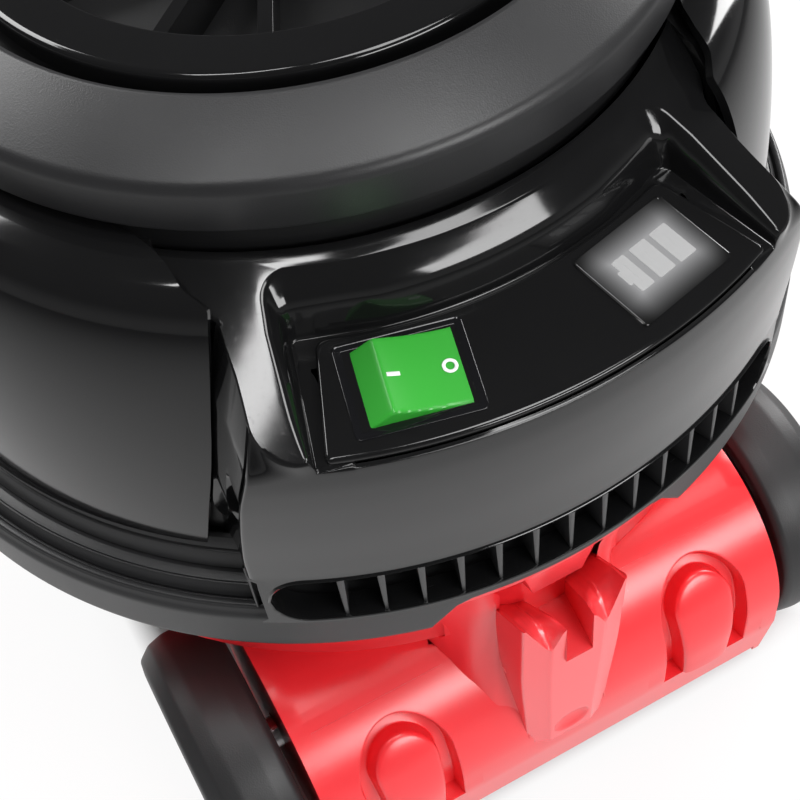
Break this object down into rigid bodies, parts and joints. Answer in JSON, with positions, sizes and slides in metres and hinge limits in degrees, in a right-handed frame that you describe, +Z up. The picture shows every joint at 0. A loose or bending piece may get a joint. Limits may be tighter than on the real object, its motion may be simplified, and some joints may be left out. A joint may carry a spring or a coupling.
{
  "type": "wheeled cordless tub vacuum cleaner",
  "caption": "Round wheeled tub vacuum cleaner with a domed head, rear control pod, exhaust slot, lift-out battery, folding carry handle and a rear tool dock.",
  "frame": {"origin": "on the floor under the middle of the bounding box, which is on the drum's axis", "axes": "+Z up, +Y towards the rear with the controls, +X towards the machine's left side as seen from behind it"},
  "size_m": [0.3332, 0.334, 0.3156],
  "materials": {
    "gloss_black": "polished",
    "satin_black": "fine satin",
    "rim_grey": "fine grain",
    "red_plastic": "gloss",
    "green_plastic": "gloss",
    "lens_black": "polished",
    "lit_white": "diffuse",
    "rubber_black": "matt",
    "tyre_black": "satin",
    "steel": "turned",
    "contact_brass": "plain",
    "board_green": "solder mask",
    "motor_alloy": "cast",
    "fan_grey": "moulded",
    "filter_white": "pleated felt"
  },
  "bodies": {
    "cleaner_body": {"chassis": "satin_black", "chassis_screws": "steel", "tub": "red_plastic", "tub_seal": "rubber_black", "rim_band": "rim_grey", "rear_housing": "red_plastic", "tool_dock": "red_plastic", "rear_axle": "steel", "hose_inlet": "satin_black", "inlet_seal": "rubber_black", "latch_pins": "steel", "head_base": "rim_grey", "head_shell": "satin_black", "side_panel_left": "gloss_black", "side_panel_right": "gloss_black", "front_panel": "gloss_black", "pod_cover": "gloss_black", "exhaust_grille": "satin_black", "control_panel": "gloss_black", "rocker_bezel": "satin_black", "rocker_pin": "steel", "gauge_lens": "lens_black", "gauge_bars": "lit_white", "control_board": "board_green", "top_ring": "rim_grey", "top_disc": "gloss_black", "battery_bay": "satin_black", "battery_contacts": "contact_brass", "handle_pins": "steel", "motor_housing": "motor_alloy", "filter_cage": "satin_black", "filter": "filter_white"},
    "rear_wheel_left": {"wheel_left": "rim_grey", "tyre_left": "tyre_black", "hub_cap_left": "red_plastic"},
    "rear_wheel_right": {"wheel_right": "rim_grey", "tyre_right": "tyre_black", "hub_cap_right": "red_plastic"},
    "castor_left": {"castor_fork_left": "satin_black", "castor_axle_left": "steel"},
    "castor_right": {"castor_fork_right": "satin_black", "castor_axle_right": "steel"},
    "castor_roller_left": {"castor_wheel_left": "tyre_black"},
    "castor_roller_right": {"castor_wheel_right": "tyre_black"},
    "latch_left": {"latch_left": "rim_grey"},
    "latch_right": {"latch_right": "rim_grey"},
    "power_rocker": {"rocker": "green_plastic"},
    "carry_handle": {"carry_handle": "rim_grey"},
    "battery": {"battery_pack": "satin_black", "battery_grip": "satin_black"},
    "motor_rotor": {"motor_shaft": "steel", "fan": "fan_grey"}
  },
  "joints": [
    {"name": "rear_wheel_left_spin", "type": "hinge", "parent": "cleaner_body", "child": "rear_wheel_left", "pos_m": [0.107, 0.11, 0.05], "axis": [1, 0, 0], "continuous": true},
    {"name": "rear_wheel_right_spin", "type": "hinge", "parent": "cleaner_body", "child": "rear_wheel_right", "pos_m": [-0.107, 0.11, 0.05], "axis": [1, 0, 0], "continuous": true},
    {"name": "castor_left_swivel", "type": "hinge", "parent": "cleaner_body", "child": "castor_left", "pos_m": [0.10677, -0.10677, 0.04], "axis": [0, 0, 1], "continuous": true},
    {"name": "castor_right_swivel", "type": "hinge", "parent": "cleaner_body", "child": "castor_right", "pos_m": [-0.10677, -0.10677, 0.04], "axis": [0, 0, 1], "continuous": true},
    {"name": "castor_left_roll", "type": "hinge", "parent": "castor_left", "child": "castor_roller_left", "pos_m": [0.10677, -0.09277, 0.015], "axis": [1, 0, 0], "continuous": true},
    {"name": "castor_right_roll", "type": "hinge", "parent": "castor_right", "child": "castor_roller_right", "pos_m": [-0.10677, -0.09277, 0.015], "axis": [1, 0, 0], "continuous": true},
    {"name": "latch_left_swing", "type": "hinge", "parent": "cleaner_body", "child": "latch_left", "pos_m": [0.1635, 0, 0.16], "axis": [0, 1, 0], "range_deg": [0, 75]},
    {"name": "latch_right_swing", "type": "hinge", "parent": "cleaner_body", "child": "latch_right", "pos_m": [-0.1635, 0, 0.16], "axis": [0, -1, 0], "range_deg": [0, 75]},
    {"name": "power_rocker_tilt", "type": "hinge", "parent": "cleaner_body", "child": "power_rocker", "pos_m": [0.03536, 0.14182, 0.25822], "axis": [0.2393, 0.9599, -0.1461], "range_deg": [0, 18]},
    {"name": "carry_handle_lift", "type": "hinge", "parent": "cleaner_body", "child": "carry_handle", "pos_m": [0, 0, 0.295], "axis": [-1, 0, 0], "range_deg": [0, 90]},
    {"name": "battery_lift", "type": "slide", "parent": "cleaner_body", "child": "battery", "axis": [0, 0, 1], "range_m": [0, 0.07]},
    {"name": "motor_spin", "type": "hinge", "parent": "cleaner_body", "child": "motor_rotor", "pos_m": [0, 0, 0.19], "axis": [0, 0, 1], "continuous": true}
  ]
}
